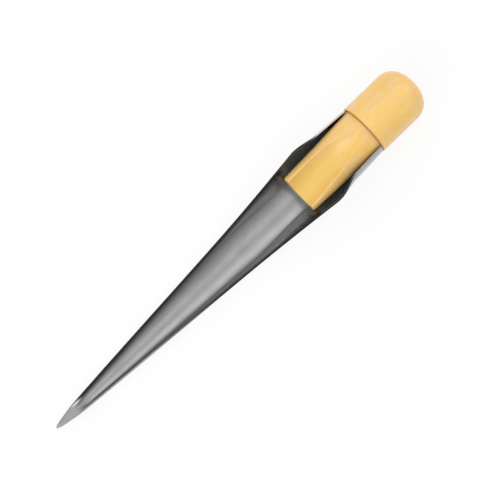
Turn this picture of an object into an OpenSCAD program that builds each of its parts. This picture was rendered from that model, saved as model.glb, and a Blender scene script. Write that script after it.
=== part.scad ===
// Hollow splicing spike: a pressed steel trough whose tang wraps round the neck of a turned handle.
// The tool lies on its back with its open side up: +X to the knob, -X to the point, +Z up.
// The origin is on the surface it lies on, under the middle of its length.

/* [Knob] */
// Length of the knob, from its shoulder to the end of its dome
knob_len = 38.5; // [30:0.5:50]
// Radius of the knob's grip
knob_r = 16.25; // [16:0.05:20]
// Length of the rounded dome at the knob's end
dome_len = 13; // [8:0.5:18]
// Squareness of the dome, where 2 is an ellipse
dome_power = 2.2; // [2:0.1:3]
// Rounding of the knob's shoulder edge
shoulder_round = 0.6; // [0.3:0.1:1.2]

/* [Neck] */
// Length of the tapered neck, from the knob's shoulder
neck_len = 52; // [44:0.5:60]
// Radius of the neck at the knob's shoulder
neck_r = 14.6; // [13:0.1:15]
// Radius of the neck at its end
neck_end_r = 12.35; // [11.5:0.05:13]
// Rounding of the neck's end
neck_round = 1.5; // [0.5:0.1:2.5]

/* [Scoop] */
// Distance from the knob's shoulder to where the scoop starts
scoop_lead = 3; // [2:0.1:8]
// Radius of the scoop across the neck
scoop_r = 10; // [8:0.1:12]
// Radius of the scoop's floor along the neck
scoop_floor_r = 200; // [120:5:400]
// Height of the scoop's floor above the handle's axis at the neck's end
scoop_floor = 0.5; // [-2:0.1:4]

/* [Blade] */
// Length of the blade, from the knob's shoulder to the point
blade_len = 241.5; // [200:0.5:280]
// Thickness of the sheet
sheet_t = 1; // [0.8:0.1:1.5]
// Distance from the blade's axis to the outside of its ears, less that of the tang
ear_flare = 3.55; // [2:0.05:5]
// Length of the flare from the tang to the ears
flare_len = 14; // [10:0.5:18]
// Half-width of the trough where the solid point begins
point_r = 5.15; // [4:0.05:6.5]
// Length of the point, from where its groove starts to run out
point_len = 33.5; // [28:0.5:40]
// Depth by which the trough's sides are hollow between the ears and the point
side_hollow = 0.65; // [0:0.05:1.2]
// Angle from the back to each lip of the trough, where 90 makes it a half circle
trough_lip_angle = 60; // [54:1:80]
// Length over which the section opens out, from a half circle at the ears to the trough's
trough_ease_len = 60; // [40:1:90]
// Height that the back rises to bring the point up to the handle's axis
back_rise = 5; // [2:0.1:8]
// Length over which the back rises, up to the point
rise_len = 141.5; // [120:0.5:160]

/* [Tang] */
// Length of the tang before it flares
tang_len = 22.5; // [18:0.5:28]
// Growth of the tang's radius over its length
tang_growth = 0.9; // [0.4:0.05:1.4]
// Angle from the back to each lip of the tang at the shoulder
lip_angle = 117; // [105:1:125]
// Angle from the back to each lip where the flare starts
lip_end_angle = 100; // [92:1:108]
// Gap between the neck and the inside of the tang
neck_fit = 0.1; // [0.06:0.01:0.2]
// Gap between the knob's shoulder and the end of the tang
shoulder_gap = 0.4; // [0.2:0.1:0.8]

/* [Point] */
// Length over which the groove runs out
runout_len = 16; // [8:0.5:20]
// Length of the rounded nose
nose_len = 19.5; // [14:0.5:24]
// Half-width of the nose at its very end
nose_r = 0.35; // [0.2:0.05:0.6]

/* [Pins] */
// Distance of the first pin from the knob's shoulder
shoulder_pin_at = 7; // [5:0.5:9]
// Distance of the second pin from the knob's shoulder
neck_pin_at = 17; // [13:0.5:20]
// Length of a pin
pin_len = 12; // [8:0.5:14]
// Radius of a pin's shank
pin_r = 1; // [0.8:0.05:1.3]
// Length of a pin's point
pin_point_len = 2.5; // [1.5:0.1:4]
// Radius of a pin's countersunk head
pin_head_r = 1.9; // [1.5:0.05:2.2]
// Height of a pin's countersunk head
pin_head_h = 0.9; // [0.6:0.05:0.95]
// Gap between a pin and its hole
pin_fit = 0.02; // [0.01:0.01:0.05]

/* [Hidden] */

// Circles of the turned and drilled shapes
$fn = 96;
// Steps round the sheet, even so that one corner runs along the back
wrap_steps = 28;
// Steps along the tang, the flare, the taper, the groove's run-out and the nose
tang_steps = 3;
flare_steps = 9;
taper_steps = 14;
runout_steps = 6;
nose_steps = 12;
// Steps round the dome and round the neck's end
dome_steps = 20;
round_steps = 6;
// Exponents that round the nose as seen from above
nose_start_power = 1.8;
nose_end_power = 0.7;
// Narrowest share of the point's width that its groove takes
groove_share = 0.6;
// Extra length of every cutter past the surface it cuts
cut_over = 1;

steel = [0.62, 0.63, 0.65];
pin_steel = [0.72, 0.72, 0.73];
wood = [0.93, 0.75, 0.44];

tang_r = neck_r + neck_fit + sheet_t;
ear_at = tang_len + flare_len;
ear_r = tang_r + ear_flare;
point_at = blade_len - point_len;
nose_at = blade_len - nose_len;
rise_at = blade_len - rise_len;

// The back runs alongside the neck's underside, so both have the same slope.
back_slope = (neck_r - neck_end_r) / neck_len;
back_curve = back_rise / pow(rise_len, 2);

// The tool rests on the knob's shoulder edge and on the back, where a line from that edge touches it.
// With a knob that isn't proud of the tang, it rests along the back alone.
knob_proud = knob_r - tang_r - back_slope * shoulder_round;
rest_reach = rise_at + shoulder_round;
rest_at = rise_at + sqrt(pow(rest_reach, 2) + max(0, knob_proud) / back_curve) - rest_reach;
rest_slope = knob_proud > 0 ? (back_z(rest_at) + knob_r) / (rest_at + shoulder_round) : back_slope;
rest_tilt = -atan(rest_slope);
rest_lift = max(knob_r - rest_slope * shoulder_round, tang_r) * cos(rest_tilt);
rest_shift = (blade_len - knob_len) / 2 * cos(rest_tilt);

// The scoop's floor is an arc from the top of the neck at the scoop's start to its end.
scoop_start = [-scoop_lead, neck_r - back_slope * scoop_lead];
scoop_end = [-neck_len, scoop_floor];
scoop_chord = scoop_end - scoop_start;
scoop_half = norm(scoop_chord) / 2;
scoop_up = [scoop_chord[1], -scoop_chord[0]] / norm(scoop_chord);
scoop_centre = (scoop_start + scoop_end) / 2
    + scoop_up * sqrt(pow(scoop_floor_r, 2) - pow(scoop_half, 2));

function mix(a, b, t) = a + (b - a) * t;
function clamp01(t) = min(1, max(0, t));
function smooth(t) = clamp01(t) * clamp01(t) * (3 - 2 * clamp01(t));

// All of these take the distance from the knob's shoulder towards the point.
function back_z(s) = -tang_r + back_slope * s + back_curve * pow(max(0, s - rise_at), 2);
function tang_w(s) = tang_r + tang_growth * s / tang_len;
function taper_w(s) =
    let (t = (s - ear_at) / (point_at - ear_at))
    mix(ear_r, point_r, t) - 4 * side_hollow * t * (1 - t);
function flare(s) = smooth((s - tang_len) / flare_len);
function nose_share(s) =
    let (t = clamp01((s - nose_at) / nose_len))
    pow(1 - pow(t, nose_start_power), nose_end_power);
function half_w(s) = mix(nose_r, mix(tang_w(s), taper_w(s), flare(s)), nose_share(s));
function lip(s) =
    mix(mix(lip_angle, lip_end_angle, clamp01(s / tang_len)),
        mix(90, trough_lip_angle, smooth((s - ear_at) / trough_ease_len)), flare(s));
function wall_r(s) = half_w(s) / sin(min(90, lip(s)));
function bore_r(s) = max(wall_r(s) - sheet_t, wall_r(s) * groove_share);
// The lips are cut square to the wall round the tang, and level along the trough.
function bore_lip(s) = lip(s) < 90 ? acos(wall_r(s) * cos(lip(s)) / bore_r(s)) : lip(s);
function rim_drop(s) = lip(s) < 90 ? wall_r(s) * cos(lip(s)) : 0;
function groove(s) = 1 - smooth((s - point_at) / runout_len);

function steps(from, to, count) = [for (i = [0 : count - 1]) mix(from, to, i / count)];
stations = concat(
    steps(shoulder_gap, tang_len, tang_steps),
    steps(tang_len, ear_at, flare_steps),
    steps(ear_at, point_at, taper_steps),
    steps(point_at, nose_at, runout_steps),
    [for (i = [0 : nose_steps]) nose_at + nose_len * sin(90 * i / nose_steps)]
);

// One slice of the sheet: round the outside from lip to lip, then back round the inside.
function arc(s, r, to, share, turn) = [
    for (i = [0 : wrap_steps])
        let (a = turn * to * (2 * i / wrap_steps - 1))
        [-s, r * sin(a), back_z(s) + wall_r(s) - mix(rim_drop(s), r * cos(a), share)]
];
function slice(s) =
    concat(arc(s, wall_r(s), lip(s), 1, 1), arc(s, bore_r(s), bore_lip(s), groove(s), -1));

module handle_blank() {
    dome_at = knob_len - dome_len;
    taper_angle = atan(back_slope);
    rotate([0, 90, 0])
        rotate_extrude()
            polygon(concat(
                [[0, -neck_len]],
                [for (i = [0 : round_steps])
                    let (a = -90 + (90 - taper_angle) * i / round_steps)
                    [neck_end_r - neck_round + neck_round * cos(a),
                        -neck_len + neck_round + neck_round * sin(a)]],
                [[neck_r, 0]],
                [for (i = [0 : round_steps])
                    let (a = -90 + 90 * i / round_steps)
                    [knob_r - shoulder_round + shoulder_round * cos(a),
                        shoulder_round + shoulder_round * sin(a)]],
                [for (i = [0 : dome_steps])
                    let (a = 90 * i / dome_steps)
                    [knob_r * pow(cos(a), 2 / dome_power),
                        dome_at + dome_len * pow(sin(a), 2 / dome_power)]]
            ));
}

module scoop_cutter() {
    intersection() {
        translate([scoop_centre[0], 0, scoop_centre[1]])
            rotate([90, 0, 0])
                rotate_extrude($fn = 256)
                    translate([scoop_floor_r - scoop_r, 0])
                        circle(scoop_r);
        translate([-neck_len - cut_over, -knob_r, scoop_floor - cut_over])
            cube([neck_len + cut_over, 2 * knob_r, 2 * knob_r]);
    }
}

// A pin's axis is square to the back, and its head lies flush with the curve of the sheet.
module tang_pin(at, fit = 0, over = 0) {
    head_sink = pow(pin_head_r, 2) / (2 * tang_r);
    translate([-at, 0, back_z(at)])
        rotate([0, atan(back_slope), 0])
            rotate_extrude($fn = 48)
                polygon(concat(
                    [[0, head_sink - over]],
                    over > 0 ? [[pin_head_r + fit, head_sink - over]] : [],
                    [[pin_head_r + fit, head_sink],
                        [pin_r + fit, head_sink + pin_head_h],
                        [pin_r + fit, pin_len - pin_point_len],
                        [0, pin_len + fit]]
                ));
}

module pin_holes() {
    for (at = [shoulder_pin_at, neck_pin_at])
        tang_pin(at, pin_fit, cut_over);
}

module blade_sheet() {
    ring = 2 * (wrap_steps + 1);
    last = (len(stations) - 1) * ring;
    points = [for (s = stations) each slice(s)];
    walls = [
        for (k = [0 : len(stations) - 2], i = [0 : ring - 1])
            let (a = k * ring + i, b = k * ring + (i + 1) % ring)
            each [[a, b, b + ring], [a, b + ring, a + ring]]
    ];
    // The diagonals turn at the middle, because the point's flat top puts three corners there in one line.
    tang_cap = [
        for (i = [0 : wrap_steps - 1])
            let (out = i, in = ring - 1 - i)
            each i < wrap_steps / 2
                ? [[out, in, out + 1], [out + 1, in, in - 1]]
                : [[out, in, in - 1], [out, in - 1, out + 1]]
    ];
    point_cap = [for (f = tang_cap) [last + f[0], last + f[2], last + f[1]]];
    polyhedron(points, concat(walls, tang_cap, point_cap), convexity = 8);
}

module at_rest() {
    translate([rest_shift, 0, rest_lift])
        rotate([0, rest_tilt, 0])
            children();
}

module blade() {
    color(steel)
        at_rest()
            difference() {
                blade_sheet();
                pin_holes();
            }
}

module handle() {
    color(wood)
        at_rest()
            difference() {
                handle_blank();
                scoop_cutter();
                pin_holes();
            }
}

module shoulder_pin() {
    color(pin_steel) at_rest() tang_pin(shoulder_pin_at);
}

module neck_pin() {
    color(pin_steel) at_rest() tang_pin(neck_pin_at);
}

blade();
handle();
shoulder_pin();
neck_pin();
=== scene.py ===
import logging
import math
from collections.abc import Callable
from dataclasses import dataclass
from enum import Enum

import bmesh
import bpy
from bpy.types import Material, Node, NodeSocket, NodeTree, Object
from mathutils import Matrix, Vector


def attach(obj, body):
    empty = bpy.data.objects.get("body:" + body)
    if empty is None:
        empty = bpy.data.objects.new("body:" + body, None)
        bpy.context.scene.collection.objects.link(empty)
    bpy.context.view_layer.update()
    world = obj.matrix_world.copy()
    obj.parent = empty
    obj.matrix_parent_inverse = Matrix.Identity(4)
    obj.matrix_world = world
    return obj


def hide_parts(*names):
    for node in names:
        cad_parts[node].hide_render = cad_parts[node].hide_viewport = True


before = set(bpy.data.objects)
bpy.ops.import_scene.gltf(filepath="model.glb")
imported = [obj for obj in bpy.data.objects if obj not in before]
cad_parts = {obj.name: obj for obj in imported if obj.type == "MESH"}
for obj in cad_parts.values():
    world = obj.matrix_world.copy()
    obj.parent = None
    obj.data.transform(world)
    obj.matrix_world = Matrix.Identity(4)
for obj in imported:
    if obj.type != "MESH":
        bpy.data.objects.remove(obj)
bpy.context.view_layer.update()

BODY = "root"
# Pieces are modelled in millimetres, where the edit tools are exact, and shrunk to metres when they are
# laid down.
MM = 0.001
# Outlines are told apart by their place along the tool, so no two of them are closer than this.
OUTLINE_STEP = 0.001
# What a shader input takes.
Input = NodeSocket | float | tuple
# Piece, CAD node and distance from the shoulder of each pin.
PINS = (("filed_shoulder_pin", "shoulder_pin", 7), ("filed_neck_pin", "neck_pin", 17))
log = logging.getLogger("marlinspike")


def mix(low: float, high: float, share: float) -> float:
    """Returns the value at a share of the way from low to high."""
    return low + (high - low) * share


def clamp(value: float) -> float:
    """Returns the value held between 0 and 1."""
    return min(1.0, max(0.0, value))


def smooth(value: float) -> float:
    """Returns the value held between 0 and 1, with soft ends."""
    share = clamp(value)
    return share * share * (3 - 2 * share)


def fade(value: float, start: float, length: float) -> float:
    """Returns 0 up to the start and 1 from a length further on, with soft ends."""
    return smooth((value - start) / length)


def polar(x: float, height: float, radius: float, angle: float) -> Vector:
    """Gives a point of a cross-section.

    Args:
        x: Place along the tool.
        height: Height of the circle's centre.
        radius: Distance from the centre.
        angle: Angle from straight down, towards +Y.

    Returns:
        The point in the tool's own frame.
    """
    return Vector((x, radius * math.sin(angle), height - radius * math.cos(angle)))


@dataclass(frozen=True)
class Rest:
    """How the tool lies: its own frame has the handle's axis on X and the knob's shoulder at 0."""

    tilt: float = math.radians(-2.76142)
    shift: float = 101.38214 * MM
    lift: float = 16.20222 * MM

    def matrix(self) -> Matrix:
        """Returns the placement from the tool's frame to the part's frame."""
        turn = Matrix.Rotation(self.tilt, 4, "Y")
        return Matrix.Translation((self.shift, 0, self.lift)) @ turn


REST = Rest()


def select_only(piece: Object) -> None:
    """Selects one object and makes it the active one.

    Args:
        piece: The object.
    """
    bpy.ops.object.select_all(action="DESELECT")
    piece.select_set(True)
    bpy.context.view_layer.objects.active = piece


class Finish(Enum):
    """The record's material slots."""

    BLADE = "blade_steel"
    HANDLE = "handle_wood"
    PIN = "pin_steel"


class Nodes:
    """Adds and joins shader nodes."""

    def __init__(self, tree: NodeTree) -> None:
        """Keeps the tree that the nodes go into."""
        self.tree = tree

    def add(self, kind: str, **settings: object) -> Node:
        """Adds a node.

        Args:
            kind: The node's type, without the leading ShaderNode.
            **settings: Attributes of the node.

        Returns:
            The new node.
        """
        node = self.tree.nodes.new("ShaderNode" + kind)
        for name, value in settings.items():
            setattr(node, name, value)
        return node

    def feed(self, socket: NodeSocket, value: Input) -> None:
        """Joins an input to another node's socket, or sets its value.

        Args:
            socket: The input.
            value: What it takes.
        """
        if isinstance(value, NodeSocket):
            self.tree.links.new(value, socket)
        else:
            socket.default_value = value

    def put(self, node: Node, **values: Input) -> Node:
        """Feeds inputs by their names.

        Args:
            node: The node whose inputs are fed.
            **values: Input names with underscores for spaces, and what each input takes.

        Returns:
            The same node.
        """
        for name, value in values.items():
            self.feed(node.inputs[name.replace("_", " ")], value)
        return node

    def attribute(self, name: str) -> Node:
        """Adds a node that reads an attribute of the mesh."""
        return self.add("Attribute", attribute_type="GEOMETRY", attribute_name=name)

    def split(self, source: NodeSocket) -> Node:
        """Adds a node that splits a vector into its X, Y and Z."""
        return self.put(self.add("SeparateXYZ"), Vector=source)

    def place(self, source: NodeSocket, size: tuple, turn: float = 0.0,
              shift: tuple = (0, 0, 0)) -> NodeSocket:
        """Scales, turns and shifts coordinates.

        Args:
            source: The coordinates.
            size: Factor of each axis.
            turn: Turn about Y, which lines a pattern up with the tool.
            shift: Shift after the scaling.

        Returns:
            The placed coordinates.
        """
        node = self.add("Mapping", vector_type="POINT")
        self.put(node, Vector=source, Scale=size, Rotation=(0, turn, 0), Location=shift)
        return node.outputs["Vector"]

    def noise(self, source: NodeSocket, size: tuple, detail: float = 2.0,
              roughness: float = 0.5, shift: tuple = (0, 0, 0)) -> NodeSocket:
        """Adds a noise pattern.

        Args:
            source: The coordinates.
            size: Grains in a metre along each axis.
            detail: Finer layers of grains.
            roughness: Strength of the finer layers.
            shift: Shift that sets the pattern apart from the others.

        Returns:
            The pattern's grey value.
        """
        node = self.add("TexNoise")
        self.put(node, Vector=self.place(source, size, 0.0, shift), Scale=1.0, Detail=detail,
                 Roughness=roughness)
        return node.outputs["Fac"]

    def spread(self, source: NodeSocket, low: float, high: float,
               out_low: float = 0.0, out_high: float = 1.0) -> NodeSocket:
        """Maps a range of grey values to another, and holds it there.

        Args:
            source: The grey value.
            low: Start of its range.
            high: End of its range, which may be the lower.
            out_low: What the start becomes.
            out_high: What the end becomes.

        Returns:
            The new grey value.
        """
        node = self.add("MapRange", clamp=True)
        self.put(node, Value=source, From_Min=low, From_Max=high, To_Min=out_low,
                 To_Max=out_high)
        return node.outputs["Result"]

    def math(self, operation: str, *values: Input) -> NodeSocket:
        """Works out a grey value from others.

        Args:
            operation: Name of the operation.
            *values: What it works on, in order.

        Returns:
            The new grey value.
        """
        node = self.add("Math", operation=operation)
        for socket, value in zip(node.inputs, values):
            self.feed(socket, value)
        return node.outputs[0]

    def sum(self, one: NodeSocket, other: NodeSocket, share: float) -> NodeSocket:
        """Adds a share of one grey value to another."""
        return self.math("MULTIPLY_ADD", other, share, one)

    def blend(self, share: Input, one: Input, other: Input, grey: bool = False) -> NodeSocket:
        """Blends two colours or two grey values.

        Args:
            share: How much of the other there is.
            one: The first.
            other: The other.
            grey: Whether they are grey values.

        Returns:
            The blended colour or value.
        """
        kind, into, out = ("FLOAT", (0, 2, 3), 0) if grey else ("RGBA", (0, 6, 7), 2)
        node = self.add("Mix", data_type=kind)
        for index, value in zip(into, (share, one, other)):
            self.feed(node.inputs[index], value)
        return node.outputs[out]

    def bump(self, height: NodeSocket, depth: float, strength: float = 0.6,
             **under: NodeSocket) -> NodeSocket:
        """Raises a pattern from the surface.

        Args:
            height: The pattern.
            depth: Its height in metres.
            strength: Share of it that shows.
            **under: The Normal of another bump that it lies on.

        Returns:
            The surface's normal.
        """
        node = self.put(self.add("Bump"), Height=height, Distance=depth, Strength=strength, **under)
        return node.outputs["Normal"]


def new_material(name: str) -> tuple[Material, Nodes, Node]:
    """Makes an empty material.

    Args:
        name: Name of the material.

    Returns:
        The material, its nodes and its shader.
    """
    material = bpy.data.materials.new(name)
    material.use_nodes = True
    shader = material.node_tree.nodes["Principled BSDF"]
    return material, Nodes(material.node_tree), shader


@dataclass(frozen=True)
class PolishedSteel:
    """Satin steel sheet, polished lengthwise, with painted shade on its cut edge, down the inside of its
    lips and inside its ears, and painted highlights on its rims.
    """

    name: str = "polished steel"
    colour: tuple = (0.415, 0.417, 0.422, 1)
    stain: tuple = (0.36, 0.362, 0.367, 1)
    # Colour of the painted highlights on the rims and where the groove runs out.
    painted_highlight: tuple = (0.96, 0.96, 0.96, 1)
    # Near-black colour of the painted shade on the cut edges and down the inside of the lips.
    painted_light: tuple = (0.030, 0.030, 0.032, 1)
    # Colour of the painted shade inside the ears.
    painted_ear_shade: tuple = (0.085, 0.088, 0.094, 1)
    roughness: float = 0.17
    # Roughness where shade is painted.
    painted_shade_roughness: float = 0.5
    line_depth: float = 0.010 * MM
    wave_depth: float = 0.10 * MM

    def material(self) -> Material:
        """Builds the material, which reads the attributes that Blade.mark writes.

        Returns:
            The material.
        """
        material, nodes, shader = new_material(self.name)
        lay = nodes.attribute("lay").outputs["Vector"]
        # Painted light: the edge value is painted shade above 0 and painted highlights below 0, and the
        # scale value is painted shade inside the ears.
        edge = nodes.attribute("painted_light").outputs["Fac"]
        scale = nodes.attribute("scale").outputs["Fac"]
        lines = nodes.noise(lay, (10, 1600, 1600), 3.0, 0.6)
        broad = nodes.noise(lay, (22, 260, 260))
        waves = nodes.noise(lay, (30, 90, 90), 1.0)
        haze = nodes.noise(lay, (90, 160, 160), 4.0)
        dark = nodes.spread(edge, 0.0, 1.0)
        bright = nodes.spread(edge, 0.0, -1.0)
        polish = nodes.spread(nodes.sum(haze, lines, 0.5), 0.4, 1.1,
                              self.roughness - 0.05, self.roughness + 0.09)
        colour = nodes.blend(nodes.spread(haze, 0.42, 0.72), self.colour, self.stain)
        colour = nodes.blend(dark, colour, self.painted_light)
        colour = nodes.blend(bright, colour, self.painted_highlight)
        fine = nodes.bump(lines, self.line_depth)
        nodes.put(shader, Base_Color=nodes.blend(scale, colour, self.painted_ear_shade),
                  Metallic=nodes.spread(scale, 0.0, 1.0, 1.0, 0.0),
                  Roughness=nodes.blend(nodes.sum(dark, scale, 1.0), polish,
                                        self.painted_shade_roughness, grey=True),
                  Normal=nodes.bump(nodes.sum(waves, broad, 0.12), self.wave_depth, Normal=fine))
        return material


@dataclass(frozen=True)
class FiledSteel:
    """Pins filed flush with the sheet."""

    name: str = "filed steel"
    colour: tuple = (0.46, 0.46, 0.465, 1)
    roughness: float = 0.34
    mark_depth: float = 0.01 * MM

    def material(self) -> Material:
        """Builds the material with file marks across the heads.

        Returns:
            The material.
        """
        material, nodes, shader = new_material(self.name)
        marks = nodes.noise(nodes.add("TexCoord").outputs["Object"], (400, 5200, 400))
        nodes.put(shader, Metallic=1.0, Base_Color=self.colour,
                  Roughness=nodes.spread(marks, 0.3, 0.7, self.roughness - 0.06,
                                         self.roughness + 0.08),
                  Normal=nodes.bump(marks, self.mark_depth))
        return material


@dataclass(frozen=True)
class LacqueredWood:
    """Pale close-grained wood turned along its grain, under clear satin lacquer."""

    name: str = "lacquered wood"
    pale: tuple = (0.91, 0.61, 0.24, 1)
    gold: tuple = (0.91, 0.55, 0.09, 1)
    heartwood: tuple = (0.78, 0.51, 0.10, 1)
    # Colour of the painted shade on the neck's end, which lies in shadow over the trough.
    end_shade: tuple = (0.20, 0.19, 0.18, 1)
    rosy: tuple = (0.88, 0.54, 0.255, 1)
    dull: tuple = (0.78, 0.50, 0.17, 1)
    fleck: tuple = (0.66, 0.37, 0.10, 1)
    end_grain: tuple = (0.94, 0.55, 0.135, 1)
    # Colour of the painted shade in the corner at the knob's shoulder.
    corner_shade: tuple = (0.42, 0.20, 0.045, 1)
    roughness: float = 0.36
    coat: float = 0.3
    coat_roughness: float = 0.2
    fibre_depth: float = 0.02 * MM
    pith: tuple = (0, 21 * MM, 34 * MM)
    heart: tuple = (14 * MM, 7 * MM)
    # Width of the painted shade in the shoulder's corner, and where the painted shade on the neck's end
    # starts and is full.
    corner: float = 0.9 * MM
    end: tuple = (-51.45 * MM, -51.65 * MM)

    def tint(self, nodes: Nodes, tool: NodeSocket, colour: NodeSocket) -> NodeSocket:
        """Adds the golden heart and end grain, and painted shade on the neck's end and in the corner at
        the shoulder.

        Args:
            nodes: The material's nodes.
            tool: Coordinates in the tool's own frame.
            colour: The wood's colour.

        Returns:
            The tinted colour.
        """
        depth = nodes.put(nodes.add("VectorMath", operation="LENGTH"),
                          Vector=nodes.place(tool, (0, 1, 1)))
        heart = nodes.spread(depth.outputs["Value"], *self.heart, 0.0, 0.8)
        colour = nodes.blend(heart, colour, self.heartwood)
        normal = nodes.split(nodes.add("TexCoord").outputs["Normal"])
        facing = nodes.math("ABSOLUTE", normal.outputs["X"])
        colour = nodes.blend(nodes.spread(facing, 0.5, 0.85, 0.0, 0.95), colour, self.end_grain)
        along = nodes.split(tool).outputs["X"]
        # Painted shade on the neck's end face.
        colour = nodes.blend(nodes.spread(along, *self.end), colour, self.end_shade)
        # Painted shade in the corner between the knob's shoulder and the neck.
        away = nodes.math("ABSOLUTE", along)
        return nodes.blend(nodes.spread(away, 0.0, self.corner, 0.85, 0.0), colour, self.corner_shade)

    def material(self) -> Material:
        """Builds the material in the tool's own frame, with growth rings round a far pith.

        Returns:
            The material.
        """
        material, nodes, shader = new_material(self.name)
        tool = nodes.place(nodes.add("TexCoord").outputs["Object"], (1, 1, 1), -REST.tilt,
                           REST.matrix().inverted().translation)
        rings = nodes.add("TexWave", wave_type="RINGS", rings_direction="X")
        nodes.put(rings, Vector=nodes.place(tool, (0.12, 1, 1), 0.0, self.pith), Scale=75.0,
                  Distortion=1.6, Detail=2.0, Detail_Scale=1.2, Detail_Roughness=0.6)
        fibre = nodes.noise(tool, (60, 1300, 1300), 3.0, 0.6)
        streak = nodes.noise(tool, (40, 260, 260))
        patch = nodes.noise(tool, (160, 230, 230), 4.0, 0.6)
        blush = nodes.noise(tool, (110, 170, 170), 3.0, 0.6, (3, 5, 7))
        cloud = nodes.noise(tool, (60, 90, 90), 1.0, shift=(2, 9, 4))
        pores = nodes.noise(tool, (320, 3600, 3600), 1.0)
        colour = self.pale
        for pattern, low, high, share, tone in (
                (rings.outputs["Fac"], 0.1, 0.9, 0.26, self.dull),
                (cloud, 0.42, 0.64, 0.6, self.gold),
                (blush, 0.44, 0.66, 0.7, self.rosy),
                (patch, 0.48, 0.68, 0.75, self.gold),
                (streak, 0.52, 0.68, 0.4, self.dull),
                (fibre, 0.58, 0.78, 0.16, self.fleck),
                (pores, 0.68, 0.78, 0.35, self.fleck)):
            colour = nodes.blend(nodes.spread(pattern, low, high, 0.0, share), colour, tone)
        nodes.put(shader, Base_Color=self.tint(nodes, tool, colour),
                  Roughness=nodes.spread(nodes.sum(fibre, patch, 0.5), 0.4, 1.1,
                                         self.roughness - 0.04, self.roughness + 0.08),
                  Coat_Weight=self.coat, Coat_Roughness=self.coat_roughness,
                  Normal=nodes.bump(nodes.sum(fibre, pores, 0.8), self.fibre_depth, 0.5))
        return material


class Sketch:
    """Draws closed outlines square to the tool and joins them, as by hand in edit mode."""

    leaf_size = 8
    dot_size = 10 * OUTLINE_STEP
    ends_meet = 3 * OUTLINE_STEP
    same_outline = OUTLINE_STEP / 3

    def __init__(self, name: str) -> None:
        """Starts an empty sketch.

        Args:
            name: Name of the piece that it becomes.
        """
        self.name = name
        self.leaves: list[Object] = []
        self.drawn: list[float] = []
        self.start = Vector((0, 0, 0))
        self.piece: Object

    def open_leaf(self) -> None:
        """Opens an empty mesh in edit mode, because operators are quick on a small one."""
        if self.leaves:
            bpy.ops.object.mode_set(mode="OBJECT")
        bpy.ops.object.select_all(action="DESELECT")
        bpy.ops.mesh.primitive_plane_add(size=OUTLINE_STEP, location=(0, 0, 0))
        self.piece = bpy.context.object
        self.leaves.append(self.piece)
        bpy.ops.object.mode_set(mode="EDIT")
        bpy.ops.mesh.select_mode(type="VERT")
        bpy.ops.mesh.select_all(action="SELECT")
        bpy.ops.mesh.delete(type="VERT")

    def gather(self) -> None:
        """Joins the leaves into one piece and opens it in edit mode."""
        bpy.ops.object.mode_set(mode="OBJECT")
        bpy.ops.object.select_all(action="DESELECT")
        for leaf in self.leaves:
            leaf.select_set(True)
        self.piece = self.leaves[0]
        bpy.context.view_layer.objects.active = self.piece
        bpy.ops.object.join()
        self.piece.name = self.name
        self.piece.data.name = self.name
        bpy.ops.object.mode_set(mode="EDIT")

    def dot(self, at: Vector) -> None:
        """Starts an outline with one vertex.

        Args:
            at: Place of the vertex.
        """
        if len(self.drawn) >= self.leaf_size * len(self.leaves):
            self.open_leaf()
        bpy.ops.mesh.select_all(action="DESELECT")
        bpy.ops.mesh.primitive_plane_add(size=self.dot_size, location=at)
        bpy.ops.mesh.merge(type="CENTER")
        self.start = at

    def arc(self, centre: Vector, turn: float, count: int) -> None:
        """Spins the last vertex about a centre.

        Args:
            centre: Centre of the arc.
            turn: Angle that it sweeps, from straight down towards +Y.
            count: Steps along the arc.
        """
        bpy.ops.mesh.spin(steps=count, angle=-turn, center=centre, axis=(1, 0, 0))

    def line(self, start: Vector, end: Vector) -> None:
        """Extrudes the last vertex from start to end."""
        bpy.ops.mesh.extrude_vertices_move(TRANSFORM_OT_translate={"value": end - start})

    def close(self) -> None:
        """Merges the last vertex of the outline with its first."""
        self.pick(lambda at: (at - self.start).length < self.ends_meet)
        bpy.ops.mesh.merge(type="CENTER")
        self.drawn.append(self.start.x)

    def pick(self, test: Callable[[Vector], bool]) -> None:
        """Selects the vertices whose place passes a test, and the edges between them.

        Args:
            test: A function of the vertex's place.
        """
        bpy.ops.mesh.select_all(action="DESELECT")
        shape = bmesh.from_edit_mesh(self.piece.data)
        chosen = [vertex for vertex in shape.verts if test(vertex.co)]
        for vertex in chosen:
            vertex.select_set(True)
        for vertex in chosen:
            for edge in vertex.link_edges:
                if edge.other_vert(vertex).select:
                    edge.select_set(True)
        bmesh.update_edit_mesh(self.piece.data)

    def on_outline(self, index: int) -> Callable[[Vector], bool]:
        """Returns a test for the vertices of one outline."""
        place = self.drawn[index]
        return lambda at: abs(at.x - place) < self.same_outline

    def join(self) -> None:
        """Bridges each outline to the next."""
        self.gather()
        bpy.ops.mesh.select_mode(type="EDGE")
        for index in range(len(self.drawn) - 1):
            low, high = self.on_outline(index), self.on_outline(index + 1)
            self.pick(lambda at: low(at) or high(at))
            bpy.ops.mesh.bridge_edge_loops(type="SINGLE")
        bpy.ops.mesh.select_mode(type="VERT")

    def cap(self, index: int) -> None:
        """Fills one outline with a flat face."""
        self.pick(self.on_outline(index))
        bpy.ops.mesh.edge_face_add()

    def round_cap(self, index: int, radius: float, count: int) -> None:
        """Fills one outline and rounds the edge round it.

        Args:
            index: Which outline.
            radius: Width of the rounding.
            count: Steps of the rounding.
        """
        self.cap(index)
        bpy.ops.mesh.bevel(offset=radius, segments=count, affect="EDGES")

    def done(self) -> Object:
        """Turns the faces outwards and leaves edit mode.

        Returns:
            The piece.
        """
        bpy.ops.mesh.select_all(action="SELECT")
        bpy.ops.mesh.normals_make_consistent(inside=False)
        bpy.ops.object.mode_set(mode="OBJECT")
        return self.piece


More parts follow.
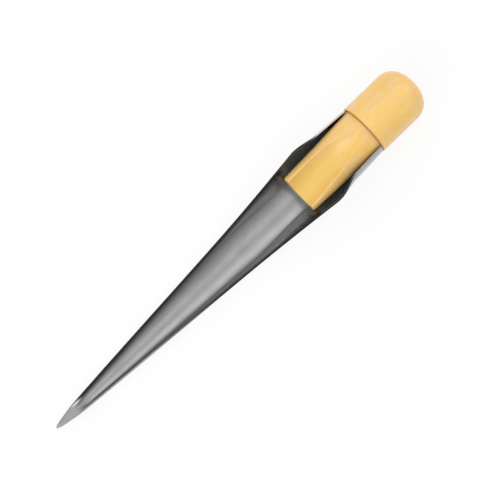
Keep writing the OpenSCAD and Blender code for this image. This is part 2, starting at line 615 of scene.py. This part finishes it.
@dataclass
class Part:
    """One piece of the tool, from its mesh to its place on the body."""

    def finish(self, piece: Object, finish: Finish, material: Material, *nodes: str,
               sharp: float = 38) -> None:
        """Shades a piece, lays it down as the tool lies, dresses it and puts it on its body.

        Args:
            piece: The piece, in the tool's own frame.
            finish: The record's slot; not used.
            material: The piece's material.
            *nodes: CAD nodes that the piece stands for.
            sharp: Angle in degrees from which an edge is left sharp.
        """
        select_only(piece)
        bpy.ops.object.shade_smooth_by_angle(angle=math.radians(sharp))
        weigh = piece.modifiers.new("weigh", "WEIGHTED_NORMAL")
        weigh.keep_sharp = True
        bpy.ops.object.modifier_apply(modifier=weigh.name)
        piece.matrix_world = REST.matrix() @ Matrix.Scale(MM, 4)
        bpy.ops.object.transform_apply(location=True, rotation=True, scale=True)
        piece.data.materials.clear()
        piece.data.materials.append(material)
        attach(piece, BODY)
        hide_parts(*nodes)
        log.info("%s: %d faces", piece.name, len(piece.data.polygons))


@dataclass
class Blade(Part):
    """The pressed sheet: its tang round the neck, its ears, its trough and its solid point.

    A pair named for a change, such as rim_shine_run, holds the place where it starts and its length.
    A pair of values for the lips gives the lip on -Y first.
    """

    length: float = 241.5
    sheet: float = 1.0
    neck_radius: float = 14.6
    neck_end_radius: float = 12.35
    neck_length: float = 52
    neck_fit: float = 0.1
    shoulder_gap: float = 0.4
    tang_length: float = 19
    tang_slack: float = 0.12
    tang_growth: float = 1.12
    flare_length: float = 20.3
    flare_ease: float = 1.35
    ear_flare: float = 3.2
    point_radius: float = 5.35
    point_length: float = 33.5
    runout_length: float = 17.5
    runout_ease: float = 2.2
    side_hollow: float = 0.68
    trough_lip: float = math.radians(60)
    trough_ease: float = 60
    back_rise: float = 5
    rise_length: float = 141.5
    nose_length: float = 14.8
    nose_end: float = 1.3
    nose_round: float = 3
    nose_radius: float = 0.35
    nose_soft: float = 0.15
    groove_share: float = 0.6
    lip: tuple = (math.radians(123), math.radians(104.5))
    lip_end: tuple = (math.radians(121), math.radians(101))
    rim_out: float = 0.42
    rim_trough: float = 0.3
    rim_in: float = 0.2
    lip_in: float = 0.54
    # Most that the outer and the inner rounding of a rim take of the outside radius.
    rim_most: tuple = (0.16, 0.08)
    lip_ease: float = 23
    end_round: float = 0.14
    wall_steps: int = 56
    rim_steps: int = 4
    run_steps: tuple = (8, 20, 30, 18)
    nose_steps: int = 20
    tip_steps: int = 4
    tip_ease: float = 1.5
    # The fields from here to leaf_shine place painted shade on the cut edge, down the inside of the lips
    # and inside the ears, and painted highlights along the lips and where the groove runs out; the two
    # for the tip only darken the nose.
    cut_edge: tuple = (0.7, 0.5)
    inner_face: tuple = (0.02, 0.13)
    opening: float = 8
    solid_point: tuple = (13, 6)
    solid_shade_cut: float = 0.6
    lip_shine: float = -0.5
    rim_shine_run: tuple = (115, 70)
    rim_shine_width: tuple = (0.42, 0.25)
    rim_shine: float = -0.9
    shade_depth: tuple = (3.1, 4.4)
    shade_start: tuple = (45, 10)
    # The nose gets darker towards its end, from 2.6 mm short of it.
    dark_tip: tuple = (-2.6, 1.8)
    dark_tip_share: float = 0.5
    ear_shade_start: tuple = (12, 6)
    ear_shade_end: tuple = (45, 6)
    ear_shade_face: float = 0.3
    ear_shade_share: float = 0.95
    leaf_at: tuple = (223, 2.5)
    leaf_size: tuple = (4.6, 0.75)
    leaf_face: tuple = (-0.5, 0.2)
    leaf_shine: float = 1.3
    lay_size: float = 12 * MM

    @property
    def tang_radius(self) -> float:
        """Returns the outside radius of the tang at the shoulder."""
        return self.neck_radius + self.neck_fit + self.sheet

    @property
    def ear_at(self) -> float:
        """Returns the place of the ears."""
        return self.tang_length + self.flare_length

    @property
    def point_at(self) -> float:
        """Returns the place where the groove starts to run out."""
        return self.length - self.point_length

    @property
    def slope(self) -> float:
        """Returns the slope of the back under the neck."""
        return (self.neck_radius - self.neck_end_radius) / self.neck_length

    def back(self, s: float) -> float:
        """Returns the height of the back at a distance from the shoulder."""
        risen = max(0.0, s - (self.length - self.rise_length)) / self.rise_length
        return -self.tang_radius + self.slope * s + self.back_rise * risen ** 2

    def flare(self, s: float) -> float:
        """Returns how far the tang has opened into the ears."""
        return smooth(clamp((s - self.tang_length) / self.flare_length) ** self.flare_ease)

    def body_width(self, s: float) -> float:
        """Gives the outside radius of the tang, the ears and the trough.

        Args:
            s: Distance from the shoulder.

        Returns:
            The radius.
        """
        grown = self.tang_growth * clamp(s / self.tang_length)
        tang = self.tang_radius + self.tang_slack + grown
        share = (s - self.ear_at) / (self.point_at - self.ear_at)
        taper = mix(self.tang_radius + self.ear_flare, self.point_radius, share)
        # The factor makes the sides hollow by side_hollow where they are most so, a third along.
        taper -= 27 / 4 * self.side_hollow * share * max(0.0, 1 - share) ** 2
        return mix(tang, taper, self.flare(s))

    def half_width(self, s: float) -> float:
        """Gives the outside radius of the sheet, which ends in a straight-sided blunt point.

        Args:
            s: Distance from the shoulder.

        Returns:
            The radius.
        """
        body, left = self.body_width(s), max(0.0, self.length - s)
        point = mix(self.nose_end, self.body_width(self.length - self.nose_length),
                    left / self.nose_length)
        width = (body + point - math.hypot(body - point, self.nose_soft)) / 2
        blunt = 1 - (self.nose_radius / self.nose_end) ** 2
        return width * math.sqrt(1 - blunt * clamp(1 - left / self.nose_round) ** 2)

    def trough_angle(self, s: float) -> float:
        """Returns the angle from the back to each lip of the trough."""
        return mix(math.pi / 2, self.trough_lip, fade(s, self.ear_at, self.trough_ease))

    def lip_angle(self, s: float, side: int) -> float:
        """Gives the angle from the back to a lip.

        Args:
            s: Distance from the shoulder.
            side: 1 for the lip on +Y, and -1 for the other, which wraps further round the neck.

        Returns:
            The angle.
        """
        lip = (side + 1) // 2
        tang = mix(self.lip[lip], self.lip_end[lip], clamp(s / self.tang_length))
        return mix(tang, self.trough_angle(s), self.flare(s))

    def wall(self, s: float) -> float:
        """Returns the outside radius of the sheet's section."""
        return self.half_width(s) / math.sin(self.trough_angle(s))

    def bore(self, s: float) -> float:
        """Returns the inside radius of the sheet's section."""
        return max(self.wall(s) - self.sheet, self.wall(s) * self.groove_share)

    def rim_height(self, s: float) -> float:
        """Returns the height of the trough's lips."""
        return self.centre(s).z - self.wall(s) * math.cos(self.trough_angle(s))

    def groove(self, s: float) -> float:
        """Returns the share of its depth that the groove keeps."""
        return 1 - fade(s, self.point_at, self.runout_length) ** self.runout_ease

    def centre(self, s: float) -> Vector:
        """Returns the centre of the cross-section at a distance from the shoulder."""
        return Vector((-s, 0, self.back(s) + self.wall(s)))

    def places(self) -> list[float]:
        """Lists where the sheet's section is drawn.

        Returns:
            The distances from the shoulder, in order.
        """
        nose_at = self.length - self.nose_length
        ends = (self.shoulder_gap, self.tang_length, self.ear_at, self.point_at, nose_at)
        places = [mix(low, high, step / count)
                  for low, high, count in zip(ends, ends[1:], self.run_steps)
                  for step in range(count)]
        places += [nose_at + self.nose_length * math.sin(math.pi / 2 * step / self.nose_steps)
                   for step in range(self.nose_steps - 1)]
        places += [self.length - self.nose_radius * (1 - step / self.tip_steps) ** self.tip_ease
                   for step in range(self.tip_steps + 1)]
        return sorted(set(places))

    def draw(self, sketch: Sketch, s: float) -> None:
        """Draws the sheet's section, from the back round both lips.

        Args:
            sketch: The sketch to draw in.
            s: Distance from the shoulder.
        """
        centre, outer, inner = self.centre(s), self.wall(s), self.bore(s)
        opened = fade(s, 0, self.lip_ease)
        spread = fade(s, self.ear_at, self.trough_ease)
        soft_most, crisp_most = self.rim_most
        soft = min(mix(self.rim_out, self.rim_trough, spread), soft_most * outer)
        crisp = min(mix(self.lip_in, self.rim_in, opened), crisp_most * outer)
        near, far = outer - soft, inner + crisp

        def at(radius: float, angle: float) -> Vector:
            """Returns a point of this section."""
            return polar(centre.x, centre.z, radius, angle)

        def lip(side: int) -> tuple:
            """Gives the corners of a lip, which is square on the tang and level on the trough.

            Args:
                side: 1 for the lip on +Y, and -1 for the other.

            Returns:
                Angle at which the outer and the inner face end, turn of the rounding on each,
                and where the lip's own face meets the outer and the inner rounding.
            """
            angle = self.lip_angle(s, side)
            face = max(angle, math.pi / 2)
            if angle > face - 1e-9:
                out_to, in_to = angle - math.asin(soft / near), angle - math.asin(crisp / far)
            else:
                drop = outer * math.cos(angle)
                out_to, in_to = math.acos((drop + soft) / near), math.acos((drop + crisp) / far)
            up = polar(0, 0, 1, side * (face + math.pi / 2))
            return (out_to, in_to, face + math.pi / 2 - out_to, in_to + math.pi / 2 - face,
                    at(near, side * out_to) + up * soft, at(far, side * in_to) + up * crisp)

        out_to, in_to, out_turn, in_turn, out_end, in_end = lip(1)
        back_to, back_in, back_turn, turn_in, out_start, in_start = lip(-1)
        half = self.wall_steps // 2
        sketch.dot(at(outer, 0))
        sketch.arc(centre, out_to, half)
        sketch.arc(at(near, out_to), out_turn, self.rim_steps)
        sketch.line(out_end, in_end)
        sketch.arc(at(far, in_to), in_turn, self.rim_steps)
        sketch.arc(centre, -in_to - back_in, self.wall_steps)
        sketch.arc(at(far, -back_in), turn_in, self.rim_steps)
        sketch.line(in_start, out_start)
        sketch.arc(at(near, -back_to), back_turn, self.rim_steps)
        sketch.arc(centre, back_to, half)
        sketch.close()
        depth = self.groove(s)
        if depth < 1:
            middle = (outer + inner) / 2
            here = sketch.on_outline(-1)
            sketch.pick(lambda co: here(co) and math.hypot(co.y, co.z - centre.z) < middle)
            lips = Vector((centre.x, 0, self.rim_height(s)))
            bpy.ops.transform.resize(value=(1, 1, max(depth, 1e-4)), center_override=lips)

    def painted_light_at(self, s: float, y: float, z: float) -> float:
        """Tells how much painted shade or painted highlight a point of the sheet gets.

        Args:
            s: Distance from the shoulder.
            y: Place across the tool.
            z: Height above the centre of the section.

        Returns:
            1 for full painted shade, 0 on the polished faces and below 0 for a painted highlight.
        """
        outer, inner = self.wall(s), self.bore(s)
        radius, angle = math.hypot(y, z), math.atan2(abs(y), -z)
        side = 1 if y > 0 else -1
        across = (radius - inner) / (outer - inner)
        below = (self.lip_angle(s, side) - angle) * radius
        inside = 1 - fade(across, *self.inner_face)
        # Painted shade on the cut edge of each lip.
        edge = (1 - fade(below, *self.cut_edge)) * (1 - inside)
        opened = fade(s, self.tang_length, self.opening)
        solid = fade(s - self.point_at, *self.solid_point)
        # On +Y, a painted highlight on the tang's lip, painted shade beyond it, less on the solid point.
        if side > 0:
            edge *= mix(self.lip_shine, 1 - self.solid_shade_cut * solid, opened)
        else:
            # On -Y, a painted highlight line on the rim towards the point, with painted shade on its
            # outer edge.
            line = mix(self.rim_shine, 1, fade(across, *self.rim_shine_width))
            edge *= opened * (1 - solid) * mix(1, line, fade(s, *self.rim_shine_run))
        # Painted shade down the inside of the lips.
        shade = (1 - fade(below, 0, self.shade_depth[(side + 1) // 2])) * (1 - solid)
        dark = inside * shade * fade(s, *self.shade_start)
        # Darkens the nose towards its end.
        dark += self.dark_tip_share * fade(s - self.length, *self.dark_tip)
        # A painted highlight in a leaf-shaped patch on +Y where the groove runs out.
        aside = [(place - middle) / size for place, middle, size
                 in zip((s, y), self.leaf_at, self.leaf_size)]
        leaf = max(0.0, 1 - math.hypot(*aside) ** 2)
        top = fade(z + outer * math.cos(self.trough_angle(s)), *self.leaf_face)
        return clamp(dark + max(0.0, edge)) + min(0.0, edge) - self.leaf_shine * leaf * top

    def ear_shade_at(self, s: float, y: float, z: float) -> float:
        """Tells how much painted shade a point of the sheet gets inside the ears, where the shaded wood
        lies close.

        Args:
            s: Distance from the shoulder.
            y: Place across the tool.
            z: Height above the centre of the section.

        Returns:
            0 where none is painted and 1 for full painted shade.
        """
        across = (math.hypot(y, z) - self.bore(s)) / (self.wall(s) - self.bore(s))
        along = fade(s, *self.ear_shade_start) * (1 - fade(s, *self.ear_shade_end))
        return self.ear_shade_share * along * (1 - fade(across, 0, self.ear_shade_face))

    def mark(self, piece: Object) -> None:
        """Writes the lay of the polish, the painted shade and painted highlights on the edges and the
        painted shade in the ears.

        Args:
            piece: The sheet, in the tool's own frame.
        """
        attributes = piece.data.attributes
        # The second attribute holds painted shade and painted highlights, the third painted shade inside
        # the ears.
        for name, kind in (("lay", "FLOAT_VECTOR"), ("painted_light", "FLOAT"), ("scale", "FLOAT")):
            attributes.new(name, kind, "POINT")
        lay, painted_light, scale = attributes["lay"], attributes["painted_light"], attributes["scale"]
        for index, vertex in enumerate(piece.data.vertices):
            s = -vertex.co.x
            y, z, width = vertex.co.y, vertex.co.z - self.centre(s).z, self.half_width(s)
            lay.data[index].vector = (s * MM, y / width * self.lay_size,
                                      z / width * self.lay_size)
            painted_light.data[index].value = self.painted_light_at(s, y, z)
            scale.data[index].value = self.ear_shade_at(s, y, z)

    def build(self, pins: list["Pin"]) -> Object:
        """Models the sheet in the tool's own frame.

        Args:
            pins: The pins that it is countersunk for.

        Returns:
            The sheet.
        """
        sketch = Sketch("steel_blade")
        for s in self.places():
            self.draw(sketch, s)
        sketch.join()
        sketch.cap(len(sketch.drawn) - 1)
        sketch.round_cap(0, self.end_round, 2)
        piece = sketch.done()
        for pin in pins:
            pin.countersink(piece)
        return piece

    def dress(self, piece: Object) -> None:
        """Marks and finishes the sheet."""
        self.mark(piece)
        self.finish(piece, Finish.BLADE, PolishedSteel().material(), "blade")


@dataclass
class Handle(Part):
    """The turned handle: a domed knob, a square shoulder and a tapered neck with a scoop.

    A pair named for a change, such as aside_run, holds the place where it starts and its length.
    """

    knob_length: float = 38.48
    knob_radius: float = 16.225
    dome_length: float = 13
    dome_power: float = 2.35
    shoulder_round: float = 0.6
    neck_length: float = 51.8
    neck_radius: float = 14.2
    neck_end_radius: float = 12.35
    neck_round: float = 1.5
    neck_flat: float = 0.22
    neck_aside: float = -0.5
    aside_run: tuple = (4, 32)
    scoop_lead: float = 3
    scoop_radius: float = 10
    scoop_floor_radius: float = 200
    scoop_floor: float = 0.5
    scoop_ease: float = 19
    scoop_shallow: tuple = (0.06, 0.74)
    scoop_turns: tuple = (-4.3, -6.5, 8.0)
    lead_turn: tuple = (2, 12)
    end_turn: tuple = (30, 24)
    ridge_round: float = 0.55
    end_round: float = 0.35
    round_steps: int = 8
    neck_steps: int = 56
    neck_ease: float = 1.7
    lead_places: tuple = (1.6, 0.5, 0.1, 0)
    face_places: tuple = (1.5 * OUTLINE_STEP, 3 * OUTLINE_STEP)
    face_share: float = 0.3
    corner_steps: int = 5
    knob_steps: int = 6
    dome_steps: int = 29
    side_steps: int = 42
    ridge_steps: int = 5
    scoop_steps: int = 30
    plain_half: float = 0.03

    @property
    def slope(self) -> float:
        """Returns the taper of the neck."""
        return (self.neck_radius - self.neck_end_radius) / self.neck_length

    def floor_height(self, s: float) -> float:
        """Gives the height of the scoop's floor, which eases in behind the shoulder.

        Args:
            s: Distance from the shoulder.

        Returns:
            The height.
        """
        start = Vector((self.scoop_lead, self.neck_at(self.scoop_lead)))
        end = Vector((self.neck_length, self.scoop_floor))
        chord = end - start
        up = Vector((-chord.y, chord.x)).normalized()
        rise = math.sqrt(self.scoop_floor_radius ** 2 - (chord.length / 2) ** 2)
        centre = (start + end) / 2 + up * rise
        floor = centre.y - math.sqrt(self.scoop_floor_radius ** 2 - (s - centre.x) ** 2)
        least, more = self.scoop_shallow
        shallow = least + more * (1 - fade(s, self.scoop_lead, self.scoop_ease))
        return mix(floor, self.neck_at(s), shallow)

    def scoop_turn(self, s: float) -> float:
        """Gives how far the hand-cut scoop is turned about the handle's axis, towards -Y.

        Args:
            s: Distance from the shoulder.

        Returns:
            The angle.
        """
        turn, lead, end = self.scoop_turns
        return math.radians(turn + lead * (1 - fade(s, *self.lead_turn))
                            + end * fade(s, *self.end_turn))

    def neck_at(self, s: float) -> float:
        """Returns the radius of the neck at a distance from the shoulder."""
        return self.neck_radius - self.slope * s

    def profile(self) -> list[tuple[float, float]]:
        """Lists the turned shape's outlines, from the neck's end to the dome's.

        Returns:
            Place and radius of each outline.
        """
        slant = math.pi / 2 - math.atan(self.slope)
        rows = []
        for step in range(self.round_steps + 1):
            share = mix(self.neck_flat, 1, step / self.round_steps)
            angle = mix(-math.pi / 2, -math.pi / 2 + slant, share)
            radius = self.neck_end_radius - self.neck_round * (1 - math.cos(angle))
            rows.append((-self.neck_length + self.neck_round * (1 + math.sin(angle)), radius))
        last = -rows[-1][0]
        places = [last - (last - self.scoop_lead) * (1 - (1 - step / self.neck_steps) ** self.neck_ease)
                  for step in range(1, self.neck_steps)]
        rows += [(-s, self.neck_at(s)) for s in (*places, self.scoop_lead, *self.lead_places)]
        # The shoulder's face is square but for the steps that keep its outlines apart.
        face, (between, corner_at) = self.knob_radius - self.shoulder_round, self.face_places
        rows.append((between, mix(self.neck_radius, face, self.face_share)))
        for step in range(self.corner_steps + 1):
            angle = math.pi / 2 * step / self.corner_steps
            rows.append((corner_at + self.shoulder_round * (1 - math.cos(angle)),
                         face + self.shoulder_round * math.sin(angle)))
        dome_at, power = self.knob_length - self.dome_length, 2 / self.dome_power
        rows += [(mix(self.shoulder_round, dome_at, step / self.knob_steps), self.knob_radius)
                 for step in range(1, self.knob_steps)]
        for step in range(self.dome_steps):
            angle = math.pi / 2 * step / self.dome_steps
            rows.append((dome_at + self.dome_length * math.sin(angle) ** power,
                         self.knob_radius * math.cos(angle) ** power))
        return rows

    def draw(self, sketch: Sketch, x: float, radius: float) -> None:
        """Draws one outline: a circle, or a circle with the scoop taken out of its top.

        Args:
            sketch: The sketch to draw in.
            x: Place along the handle.
            radius: Radius of the turned shape.
        """
        aside = Vector((0, self.neck_aside * fade(-x, *self.aside_run), 0))
        turn = self.scoop_turn(-x)
        sketch.dot(polar(x, 0, radius, turn) + aside)
        ridge, cut, side = self.ridge_round, self.scoop_radius, self.plain_half
        over = ((0, 0, 2 * side, 2 * self.ridge_steps + self.scoop_steps),)
        if x < -self.scoop_lead:
            near, far, top = radius - ridge, cut + ridge, self.floor_height(-x) + cut
            side = math.acos((near ** 2 + top ** 2 - far ** 2) / (2 * near * top))
            under = math.acos((far ** 2 + top ** 2 - near ** 2) / (2 * far * top))
            over = ((near, math.pi - side, side + under, self.ridge_steps),
                    (top, math.pi, -2 * under, self.scoop_steps),
                    (near, side - math.pi, side + under, self.ridge_steps))
        flank = (0, 0, math.pi - side, self.side_steps)
        for out, angle, sweep, steps in (flank, *over, flank):
            sketch.arc(polar(x, 0, out, angle + turn) + aside, sweep, steps)
        sketch.close()

    def build(self) -> Object:
        """Models the handle in the tool's own frame.

        Returns:
            The handle.
        """
        sketch = Sketch("wooden_handle")
        for x, radius in self.profile():
            self.draw(sketch, x, radius)
        sketch.join()
        sketch.cap(len(sketch.drawn) - 1)
        sketch.round_cap(0, self.end_round, 2)
        return sketch.done()

    def dress(self, piece: Object) -> None:
        """Finishes the handle."""
        self.finish(piece, Finish.HANDLE, LacqueredWood().material(), "handle", sharp=40)


@dataclass
class Pin(Part):
    """A countersunk pin, driven through the back of the tang into the neck and filed flush.

    The middle of its burr and of its point is given in shares of their depth and width, and its
    tip by what it is cut short and its radius.
    """

    name: str
    node: str
    at: float
    blade: Blade
    length: float = 12
    radius: float = 1
    point: float = 2.5
    head_radius: float = 1.9
    head_height: float = 0.9
    burr: float = 0.07
    burr_middle: tuple = (0.4, 0.2)
    point_middle: tuple = (0.5, 0.66)
    tip: tuple = (0.05, 0.06)
    fit: float = 0.05
    drill: tuple = (-1.0, 3.0)
    sides: int = 48

    @property
    def sink(self) -> float:
        """Returns how far the head's face lies under the crown of the back."""
        return self.head_radius ** 2 / (2 * self.blade.tang_radius)

    def turned(self, name: str, rings: list[tuple[float, float]]) -> Object:
        """Models a turned shape by extruding a disc from ring to ring.

        Args:
            name: Name of the shape.
            rings: Depth and radius of each ring.

        Returns:
            The shape, laid in the tool's own frame.
        """
        bpy.ops.object.select_all(action="DESELECT")
        depth, radius = rings[0]
        bpy.ops.mesh.primitive_circle_add(vertices=self.sides, radius=radius, fill_type="NGON",
                                          location=(0, 0, 0))
        shape = bpy.context.object
        shape.name = name
        shape.data.name = name
        bpy.ops.object.mode_set(mode="EDIT")
        bpy.ops.mesh.select_all(action="SELECT")
        for deeper, wider in rings[1:]:
            bpy.ops.mesh.extrude_region_move(
                TRANSFORM_OT_translate={"value": (0, 0, deeper - depth)})
            share = wider / radius
            bpy.ops.transform.resize(value=(share, share, 1), center_override=(0, 0, 0))
            depth, radius = deeper, wider
        bpy.ops.mesh.select_all(action="SELECT")
        bpy.ops.mesh.normals_make_consistent(inside=False)
        bpy.ops.object.mode_set(mode="OBJECT")
        shape.matrix_world = (Matrix.Translation((-self.at, 0, self.blade.back(self.at)))
                              @ Matrix.Rotation(math.atan(self.blade.slope), 4, "Y")
                              @ Matrix.Translation((0, 0, rings[0][0])))
        bpy.ops.object.transform_apply(location=True, rotation=True, scale=True)
        return shape

    def countersink(self, sheet: Object) -> None:
        """Cuts the pin's hole.

        Args:
            sheet: The sheet that is cut.
        """
        wide, narrow = self.head_radius + self.fit, self.radius + self.fit
        above, below = self.drill
        tool = self.turned("countersink", [(above, wide), (self.sink, wide),
                                           (self.sink + self.head_height, narrow),
                                           (below, narrow)])
        select_only(sheet)
        hole = sheet.modifiers.new("hole", "BOOLEAN")
        hole.operation = "DIFFERENCE"
        hole.solver = "EXACT"
        hole.object = tool
        bpy.ops.object.modifier_apply(modifier=hole.name)
        bpy.data.objects.remove(tool)

    def build(self) -> Object:
        """Models the pin in the tool's own frame.

        Returns:
            The pin.
        """
        top, sink, point_at = self.head_radius, self.sink, self.length - self.point
        (down, out), (along, wide), (short, tip) = self.burr_middle, self.point_middle, self.tip
        return self.turned(self.name, [
            (sink, top - self.burr), (sink + self.burr * down, top - self.burr * out),
            (sink + self.burr, top), (sink + self.head_height, self.radius),
            (point_at, self.radius), (point_at + self.point * along, self.radius * wide),
            (self.length - short, tip)])

    def dress(self, piece: Object) -> None:
        """Finishes the pin."""
        self.finish(piece, Finish.PIN, FiledSteel().material(), self.node)


@dataclass
class Studio:
    """The pale floor, the soft light of the room and the camera.

    The light's levels are pairs of an angle, in degrees from straight up towards +Y, and a
    brightness.
    """

    floor_size: float = 8.0
    floor_glow: float = 0.85
    camera_distance: float = 577 * MM
    lens: float = 73.61
    aim: tuple = (-92.88 * MM, -3.77 * MM, 0.0)
    roll: float = math.radians(44.1)
    lean: float = math.radians(0.5)
    pitch: float = math.radians(0.43)
    over: tuple = ((-80, 0.34), (-62, 0.48), (-48, 0.62), (-36, 0.74), (-24, 0.92), (-12, 1.0),
                   (0, 0.91), (12, 0.82), (24, 0.96), (36, 1.15), (48, 1.25), (62, 1.05),
                   (72, 0.6), (84, 0.3))
    point_end: tuple = ((-60, 0.5), (-30, 2.2), (0, 3.0), (30, 1.3), (60, 0.4))
    knob_end: tuple = ((-60, 0.5), (-30, 0.9), (-12, 1.2), (-1, 3.0), (10, 1.4), (30, 1.2),
                       (60, 0.9))
    ends: tuple = (0.45, 0.6)
    backdrop: tuple = (1, 1, 1, 1)

    def floor(self) -> None:
        """Lays the floor that the tool lies on."""
        bpy.ops.object.select_all(action="DESELECT")
        bpy.ops.mesh.primitive_plane_add(size=self.floor_size, location=(0, 0, 0))
        floor = bpy.context.object
        floor.name = "floor"
        material, nodes, shader = new_material("pale floor")
        nodes.put(shader, Base_Color=(0.92, 0.92, 0.92, 1), Roughness=0.9,
                  Specular_IOR_Level=0.1)
        paths = nodes.add("LightPath")
        seen = nodes.math("MAXIMUM", paths.outputs["Is Camera Ray"], paths.outputs["Is Glossy Ray"])
        glow = nodes.put(nodes.add("Emission"), Color=(1, 1, 1, 1), Strength=1.0)
        lit = nodes.add("MixShader")
        for socket, value in zip(lit.inputs, (nodes.math("MULTIPLY", seen, self.floor_glow),
                                              shader.outputs[0], glow.outputs[0])):
            nodes.feed(socket, value)
        nodes.put(material.node_tree.nodes["Material Output"], Surface=lit.outputs[0])
        floor.data.materials.append(material)

    def band(self, nodes: Nodes, angle: NodeSocket, levels: tuple) -> NodeSocket:
        """Makes a soft band of light from -Y over the top to +Y.

        Args:
            nodes: The sky's nodes.
            angle: Angle from straight up towards +Y, in radians.
            levels: Angle in degrees and brightness of each stop.

        Returns:
            The band's brightness.
        """
        ramp = nodes.add("ValToRGB")
        half = math.pi / 2
        nodes.put(ramp, Fac=nodes.spread(angle, -half, half))
        stops = ramp.color_ramp.elements
        stops.remove(stops[1])
        for index, (degrees, level) in enumerate(levels):
            place = (degrees + 90) / 180
            stop = stops[0] if index == 0 else stops.new(place)
            stop.position = place
            stop.color = (level, level, level, 1)
        return ramp.outputs["Color"]

    def sky(self) -> None:
        """Lights the room, brighter from +Y and at both ends, and shows the camera a backdrop."""
        world = bpy.data.worlds.new("room")
        bpy.context.scene.world = world
        world.use_nodes = True
        nodes = Nodes(world.node_tree)
        way = nodes.split(nodes.add("TexCoord").outputs["Generated"])
        angle = nodes.math("ARCTAN2", way.outputs["Y"], way.outputs["Z"])
        light = self.band(nodes, angle, self.over)
        near, far = self.ends
        for side, levels in ((-1, self.point_end), (1, self.knob_end)):
            light = nodes.blend(nodes.spread(way.outputs["X"], side * near, side * far), light,
                                self.band(nodes, angle, levels))
        seen = nodes.add("LightPath").outputs["Is Camera Ray"]
        background = world.node_tree.nodes["Background"]
        nodes.put(background, Color=nodes.blend(seen, light, self.backdrop), Strength=1.0)

    def camera(self) -> None:
        """Sets up the camera over the tool, nearly square to its length and leaning a little."""
        lens = bpy.data.cameras.new("camera")
        lens.lens = self.lens
        lens.sensor_width = 36
        lens.clip_start = 0.01
        holder = bpy.data.objects.new("camera", lens)
        bpy.context.scene.collection.objects.link(holder)
        turn = (Matrix.Rotation(self.lean, 4, "X") @ Matrix.Rotation(self.pitch, 4, "Y")
                @ Matrix.Rotation(-self.roll, 4, "Z"))
        away = Matrix.Translation((0, 0, self.camera_distance))
        holder.matrix_world = REST.matrix() @ Matrix.Translation(self.aim) @ turn @ away
        bpy.context.scene.camera = holder

    def build(self) -> None:
        """Sets up the whole studio."""
        self.camera()
        self.floor()
        self.sky()
        bpy.context.scene.view_settings.view_transform = "Standard"


def main() -> None:
    """Builds the studio and each piece of the tool."""
    logging.basicConfig(level=logging.INFO, format="%(name)s: %(message)s")
    Studio().build()
    blade = Blade()
    pins = [Pin(name, node, at, blade) for name, node, at in PINS]
    blade.dress(blade.build(pins))
    for pin in pins:
        pin.dress(pin.build())
    handle = Handle()
    handle.dress(handle.build())


if __name__ == "__main__":
    main()
